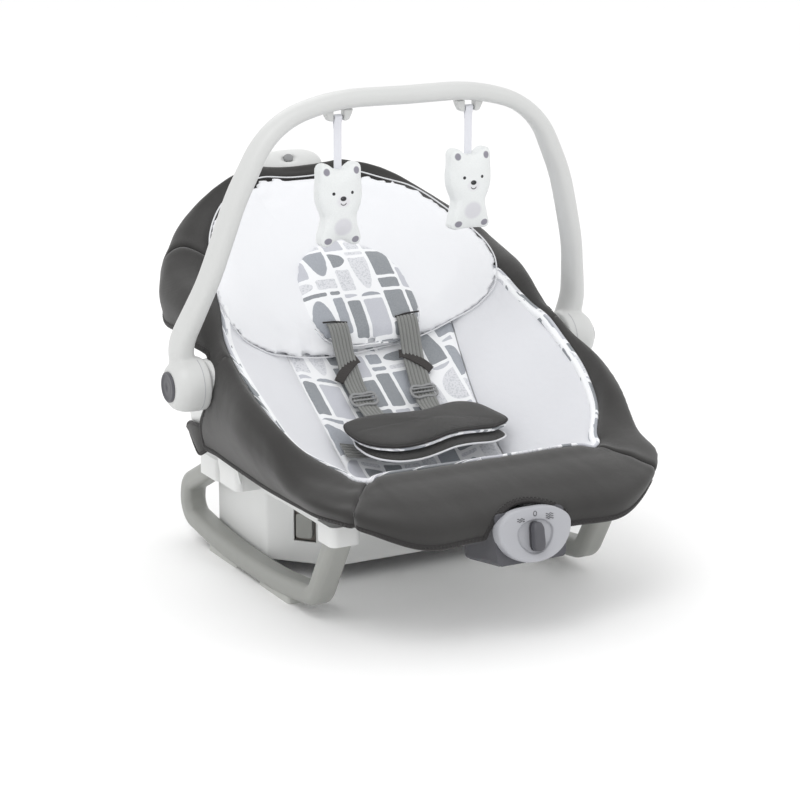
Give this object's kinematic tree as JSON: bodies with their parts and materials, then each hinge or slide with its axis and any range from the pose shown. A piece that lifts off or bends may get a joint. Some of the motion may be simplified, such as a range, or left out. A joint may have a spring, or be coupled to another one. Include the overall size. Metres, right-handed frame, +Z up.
{
  "type": "infant bouncer seat",
  "caption": "Reclining padded infant seat on rocker runners, with a pivoting toy bar, two hanging toys, harness and vibration knob.",
  "frame": {"origin": "middle of the footprint, on the floor that the rocker stands on", "axes": "+Z up, the foot end towards -Y, the head end towards +Y, +X across the seat"},
  "size_m": [0.547, 0.6138, 0.5578],
  "materials": {
    "runner_plastic": "satin",
    "pad_rubber": "matte",
    "white_plastic": "satin",
    "grey_plastic": "satin",
    "bezel_plastic": "satin",
    "dark_plastic": "matte",
    "steel": "satin",
    "painted_steel": "satin",
    "charcoal_fabric": "matte",
    "printed_fabric": "matte",
    "white_fabric": "matte",
    "webbing": "matte",
    "circuit_green": "satin",
    "battery_skin": "satin",
    "toy_plush": "matte",
    "toy_ribbon": "matte"
  },
  "bodies": {
    "base": {"runner_left": "runner_plastic", "runner_right": "runner_plastic", "runner_pads": "pad_rubber", "base_housing": "white_plastic", "base_bottom_cover": "grey_plastic", "housing_screws": "steel", "latch_springs": "steel", "side_frame_left": "white_plastic", "side_frame_right": "white_plastic", "frame_screws": "steel", "pivot_pins": "steel", "corner_flaps": "charcoal_fabric"},
    "seat": {"seat_shell": "grey_plastic", "rim_tube": "painted_steel", "pivot_brackets": "painted_steel", "front_cover": "charcoal_fabric", "side_cover_left": "charcoal_fabric", "side_cover_right": "charcoal_fabric", "back_cover": "charcoal_fabric", "liner_panel": "printed_fabric", "liner_wing_left": "white_fabric", "liner_wing_right": "white_fabric", "head_support": "white_fabric", "head_pillow": "printed_fabric", "shoulder_strap_left": "webbing", "shoulder_strap_right": "webbing", "strap_adjusters": "dark_plastic", "strap_loops": "charcoal_fabric", "waist_straps": "webbing", "crotch_strap": "webbing", "buckle_body": "dark_plastic", "buckle_tongues": "dark_plastic", "buckle_cover_pad": "charcoal_fabric", "control_housing": "grey_plastic", "control_bezel": "bezel_plastic", "rotary_switch": "grey_plastic", "circuit_board": "circuit_green", "motor_can": "steel", "batteries": "battery_skin", "battery_contacts": "steel", "battery_door": "grey_plastic", "battery_door_screw": "steel", "recline_handle": "white_plastic"},
    "toy_bar_frame": {"toy_bar": "white_plastic", "hub_caps": "dark_plastic", "toy_brackets": "white_plastic"},
    "toy_left": {"toy_ribbon_left": "toy_ribbon", "toy_bear_left": "toy_plush"},
    "toy_right": {"toy_ribbon_right": "toy_ribbon", "toy_bear_right": "toy_plush"},
    "knob": {"vibration_knob": "dark_plastic"},
    "motor_rotor": {"motor_weight": "steel"},
    "handle_button": {"recline_button": "grey_plastic"},
    "buckle_release": {"buckle_button": "dark_plastic"},
    "latch_left": {"base_latch_left": "grey_plastic"},
    "latch_right": {"base_latch_right": "grey_plastic"}
  },
  "joints": [
    {"name": "seat_recline", "type": "hinge", "parent": "base", "child": "seat", "pos_m": [0, 0.037, 0.234], "axis": [-1, 0, 0], "range_deg": [0, 14]},
    {"name": "toy_bar_pivot", "type": "hinge", "parent": "base", "child": "toy_bar_frame", "pos_m": [0, 0.037, 0.234], "axis": [1, 0, 0], "range_deg": [-28, 50]},
    {"name": "toy_swing_left", "type": "hinge", "parent": "toy_bar_frame", "child": "toy_left", "pos_m": [-0.082, -0.00364, 0.52316], "axis": [1, 0, 0], "range_deg": [-35, 35]},
    {"name": "toy_swing_right", "type": "hinge", "parent": "toy_bar_frame", "child": "toy_right", "pos_m": [0.082, -0.00364, 0.52316], "axis": [1, 0, 0], "range_deg": [-35, 35]},
    {"name": "vibration_knob_turn", "type": "hinge", "parent": "seat", "child": "knob", "pos_m": [0, -0.29821, 0.11628], "axis": [0, -0.9877, 0.1564], "range_deg": [-40, 40]},
    {"name": "motor_spin", "type": "hinge", "parent": "seat", "child": "motor_rotor", "pos_m": [0, -0.23739, 0.11677], "axis": [1, 0, 0], "continuous": true},
    {"name": "recline_button_press", "type": "slide", "parent": "seat", "child": "handle_button", "axis": [0, 0.8829, -0.4695], "range_m": [0, 0.0025], "stiffness_N_per_m": 250, "springref_m": -0.0005},
    {"name": "buckle_release_press", "type": "slide", "parent": "seat", "child": "buckle_release", "axis": [0, 0.5, -0.866], "range_m": [0, 0.003], "stiffness_N_per_m": 300, "springref_m": -0.0005},
    {"name": "base_latch_left_press", "type": "slide", "parent": "base", "child": "latch_left", "axis": [0.7362, 0.6768, 0], "range_m": [0, 0.004], "stiffness_N_per_m": 400, "springref_m": -0.0005},
    {"name": "base_latch_right_press", "type": "slide", "parent": "base", "child": "latch_right", "axis": [-0.7362, 0.6768, 0], "range_m": [0, 0.004], "stiffness_N_per_m": 400, "springref_m": -0.0005}
  ]
}
